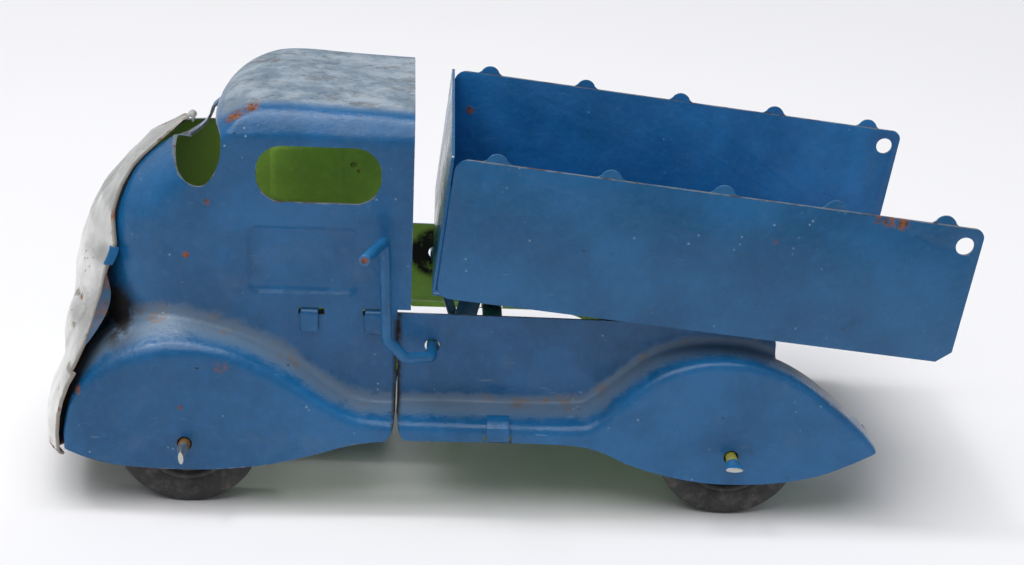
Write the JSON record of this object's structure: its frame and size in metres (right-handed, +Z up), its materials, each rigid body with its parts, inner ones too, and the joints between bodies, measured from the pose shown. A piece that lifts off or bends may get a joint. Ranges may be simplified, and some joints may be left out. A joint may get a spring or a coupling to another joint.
{
  "type": "toy dump truck",
  "caption": "Pressed-steel toy dump truck with a cab, plated front, fendered chassis, tipping bed, bent-wire lift lever and rubber wheels on wire axles.",
  "frame": {"origin": "middle of the bounding box, on the ground under the wheels", "axes": "+Z up, -X towards the truck's front, -Y towards its left side with the lever"},
  "size_m": [0.3068, 0.1443, 0.1352],
  "materials": {
    "blue_paint": "worn gloss enamel over sheet steel, light green inside",
    "front_tin": "dull bright plating with rust spots",
    "rod_steel": "bare wire with a brown patina",
    "wheel_rubber": "matt black moulded rubber"
  },
  "bodies": {
    "truck": {"cab_shell": "blue_paint", "grille_plate": "front_tin", "chassis": "blue_paint", "chassis_brace": "blue_paint", "hinge_rod": "rod_steel", "front_axle": "rod_steel", "rear_axle": "rod_steel"},
    "bed": {"dump_bed": "blue_paint"},
    "lever": {"lever_crank": "blue_paint"},
    "link": {"lift_link": "blue_paint"},
    "wheel_front_left_body": {"wheel_front_left": "wheel_rubber"},
    "wheel_front_right_body": {"wheel_front_right": "wheel_rubber"},
    "wheel_rear_left_body": {"wheel_rear_left": "wheel_rubber"},
    "wheel_rear_right_body": {"wheel_rear_right": "wheel_rubber"}
  },
  "joints": [
    {"name": "bed_hinge", "type": "hinge", "parent": "truck", "child": "bed", "pos_m": [0.086, 0.0047, 0.0622], "axis": [0, 1, 0], "range_deg": [0, 13.74]},
    {"name": "lever_hinge", "type": "hinge", "parent": "truck", "child": "lever", "pos_m": [-0.0211, 0.0047, 0.055], "axis": [0, -1, 0], "range_deg": [0, 65.05]},
    {"name": "link_hinge", "type": "hinge", "parent": "lever", "child": "link", "pos_m": [-0.01353, 0.0047, 0.0317], "axis": [0, -1, 0], "range_deg": [-45.8, 0]},
    {"name": "wheel_front_left_spin", "type": "hinge", "parent": "truck", "child": "wheel_front_left_body", "pos_m": [-0.101, -0.0436, 0.0239], "axis": [0, 1, 0], "continuous": true},
    {"name": "wheel_front_right_spin", "type": "hinge", "parent": "truck", "child": "wheel_front_right_body", "pos_m": [-0.101, 0.053, 0.0239], "axis": [0, 1, 0], "continuous": true},
    {"name": "wheel_rear_left_spin", "type": "hinge", "parent": "truck", "child": "wheel_rear_left_body", "pos_m": [0.079, -0.0436, 0.0239], "axis": [0, 1, 0], "continuous": true},
    {"name": "wheel_rear_right_spin", "type": "hinge", "parent": "truck", "child": "wheel_rear_right_body", "pos_m": [0.079, 0.053, 0.0239], "axis": [0, 1, 0], "continuous": true}
  ],
  "couplings": [
    {"joint": "lever_hinge", "follows": "bed_hinge", "ratio": 4.7307},
    {"joint": "link_hinge", "follows": "bed_hinge", "ratio": -3.329}
  ]
}
